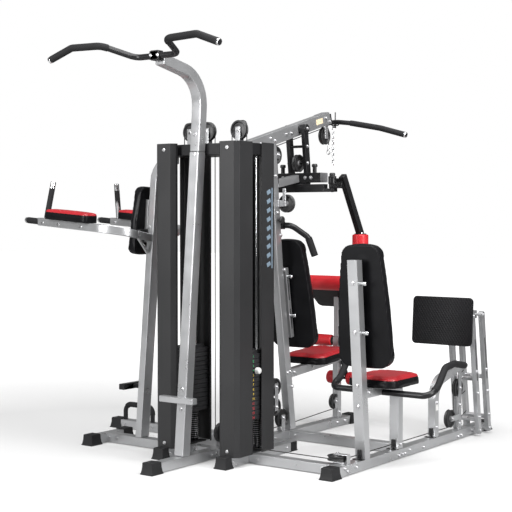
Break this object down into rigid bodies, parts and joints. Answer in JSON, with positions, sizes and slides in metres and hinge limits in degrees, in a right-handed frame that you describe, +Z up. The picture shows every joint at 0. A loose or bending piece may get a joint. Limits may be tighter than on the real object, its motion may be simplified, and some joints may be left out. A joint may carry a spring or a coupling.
{
  "type": "multi station home gym",
  "caption": "Multi station home gym with a pull-up bar, knee-raise arms, shrouded weight stacks, a lat pulldown, press and butterfly seat, and a leg press on a silver tube frame.",
  "frame": {"origin": "centre of the sole of the front rubber shoe, under the pull-up post, on the floor plane", "axes": "+Z is up, +Y runs along the boom the way both seats face, +X runs toward the leg press"},
  "size_m": [2.2652, 2.381, 2.1878],
  "materials": {
    "silver_frame": "satin silver powder coat on steel tube",
    "black_frame": "satin black powder coat with foam or rubber grips",
    "pad_vinyl": "black upholstery vinyl over foam, red on some panels",
    "plate_iron": "painted cast weight plates",
    "chrome": "polished chrome plate",
    "cable_coat": "black plastic coat over steel cable",
    "pulley_plastic": "moulded black plastic"
  },
  "bodies": {
    "frame": {"front_spine_beam": "silver_frame", "tower_base_left": "silver_frame", "tower_base_right": "silver_frame", "knee_raise_base": "silver_frame", "rear_cross_beam": "silver_frame", "push_up_handle": "black_frame", "rear_spine_beam": "silver_frame", "leg_press_base": "silver_frame", "shroud_left_front": "black_frame", "shroud_left_rear": "black_frame", "shroud_right_front": "black_frame", "shroud_right_rear": "black_frame", "guide_rods_left": "chrome", "guide_rods_right": "chrome", "rest_plates_left": "plate_iron", "rest_plates_right": "plate_iron", "top_cross_member": "black_frame", "pull_up_post_lower": "silver_frame", "pull_up_post_upper": "silver_frame", "pull_up_bar": "black_frame", "knee_raise_upright": "silver_frame", "knee_raise_step": "black_frame", "knee_raise_arm_near": "silver_frame", "knee_raise_arm_far": "silver_frame", "forearm_pad_near": "pad_vinyl", "forearm_pad_far": "pad_vinyl", "knee_raise_back_pad": "pad_vinyl", "mast": "silver_frame", "boom": "silver_frame", "shoulder_handle_bar": "black_frame", "main_back_pad": "pad_vinyl", "main_seat_frame": "silver_frame", "main_seat_pad": "pad_vinyl", "curl_pad": "pad_vinyl", "leg_press_back_post": "silver_frame", "leg_press_back_pad": "pad_vinyl", "leg_press_seat_frame": "silver_frame", "leg_press_seat_pad": "pad_vinyl", "leg_press_handle_bar": "black_frame", "leg_press_pulley_arch": "silver_frame", "main_cable": "cable_coat", "leg_press_cable": "cable_coat"},
    "stack_left": {"lifted_plates_left": "plate_iron"},
    "stack_right": {"lifted_plates_right": "plate_iron"},
    "pin_left": {"selector_pin_left": "chrome"},
    "pin_right": {"selector_pin_right": "chrome"},
    "cable_end": {"cable_end_clip": "chrome"},
    "lat_bar_body": {"lat_bar": "black_frame", "lat_chain": "chrome"},
    "press": {"press_arm": "black_frame"},
    "butterfly_left": {"butterfly_arm_left": "black_frame"},
    "butterfly_right": {"butterfly_arm_right": "black_frame"},
    "leg_developer": {"leg_lever": "black_frame"},
    "lever_front": {"leg_press_lever_front": "silver_frame"},
    "lever_rear": {"leg_press_lever_rear": "silver_frame"},
    "foot_carrier": {"foot_plate": "black_frame"},
    "pulley_lat": {"lat_pulley": "pulley_plastic"},
    "pulley_top": {"top_pulley_right": "pulley_plastic"},
    "pulley_press": {"press_pulley": "pulley_plastic"},
    "pulley_corner": {"corner_pulley": "pulley_plastic"}
  },
  "joints": [
    {"name": "stack_left_slide", "type": "slide", "parent": "frame", "child": "stack_left", "axis": [0, 0, 1], "range_m": [0, 0.6], "deforming": ["main_cable"]},
    {"name": "pin_left_slide", "type": "slide", "parent": "stack_left", "child": "pin_left", "axis": [-1, 0, 0], "range_m": [0, 0.07]},
    {"name": "cable_end_slide", "type": "slide", "parent": "frame", "child": "cable_end", "axis": [0, 0, -1], "range_m": [0, 0.6]},
    {"name": "lat_bar_lift", "type": "slide", "parent": "frame", "child": "lat_bar_body", "axis": [0, 0, 1], "range_m": [0, 0.05]},
    {"name": "stack_right_slide", "type": "slide", "parent": "frame", "child": "stack_right", "axis": [0, 0, 1], "range_m": [0, 0.19], "deforming": ["leg_press_cable"]},
    {"name": "pin_right_slide", "type": "slide", "parent": "stack_right", "child": "pin_right", "axis": [1, 0, 0], "range_m": [0, 0.07]},
    {"name": "lever_front_swing", "type": "hinge", "parent": "frame", "child": "lever_front", "pos_m": [0.8, 1.9525, 0.034], "axis": [-1, 0, 0], "range_deg": [0, 35]},
    {"name": "lever_rear_swing", "type": "hinge", "parent": "frame", "child": "lever_rear", "pos_m": [0.8, 2.0825, 0.034], "axis": [-1, 0, 0], "range_deg": [0, 35]},
    {"name": "foot_carrier_swing", "type": "hinge", "parent": "lever_front", "child": "foot_carrier", "pos_m": [0.8, 1.8545, 0.724], "axis": [-1, 0, 0], "range_deg": [-35, 0]},
    {"name": "press_swing", "type": "hinge", "parent": "frame", "child": "press", "pos_m": [0, 1.3025, 1.826], "axis": [1, 0, 0], "range_deg": [0, 45]},
    {"name": "butterfly_left_swing", "type": "hinge", "parent": "press", "child": "butterfly_left", "pos_m": [-0.25, 1.3025, 1.5], "axis": [0, 0, -1], "range_deg": [0, 80]},
    {"name": "butterfly_right_swing", "type": "hinge", "parent": "press", "child": "butterfly_right", "pos_m": [0.25, 1.3025, 1.5], "axis": [0, 0, 1], "range_deg": [0, 80]},
    {"name": "leg_lever_swing", "type": "hinge", "parent": "frame", "child": "leg_developer", "pos_m": [0, 1.7525, 0.42], "axis": [1, 0, 0], "range_deg": [0, 85]},
    {"name": "lat_pulley_spin", "type": "hinge", "parent": "frame", "child": "pulley_lat", "pos_m": [0, 1.6025, 1.80032], "axis": [-1, 0, 0], "continuous": true},
    {"name": "top_pulley_spin", "type": "hinge", "parent": "frame", "child": "pulley_top", "pos_m": [0.164, 0.5225, 1.768], "axis": [0, -1, 0], "continuous": true},
    {"name": "corner_pulley_spin", "type": "hinge", "parent": "frame", "child": "pulley_corner", "pos_m": [0.751, 0.5715, 0.082], "axis": [0, 0, 1], "continuous": true},
    {"name": "press_pulley_spin", "type": "hinge", "parent": "press", "child": "pulley_press", "pos_m": [0, 1.3185, 1.624], "axis": [1, 0, 0], "continuous": true}
  ],
  "couplings": [
    {"joint": "cable_end_slide", "follows": "stack_left_slide", "ratio": 1},
    {"joint": "lat_pulley_spin", "follows": "stack_left_slide", "rad_per_m": 20.408},
    {"joint": "lever_front_swing", "follows": "stack_right_slide", "rad_per_m": 3.1746},
    {"joint": "lever_rear_swing", "follows": "stack_right_slide", "rad_per_m": 3.1746},
    {"joint": "foot_carrier_swing", "follows": "stack_right_slide", "rad_per_m": -3.1746},
    {"joint": "top_pulley_spin", "follows": "stack_right_slide", "rad_per_m": 20.408},
    {"joint": "corner_pulley_spin", "follows": "stack_right_slide", "rad_per_m": 20.408},
    {"joint": "butterfly_right_swing", "follows": "butterfly_left_swing", "ratio": 1}
  ]
}
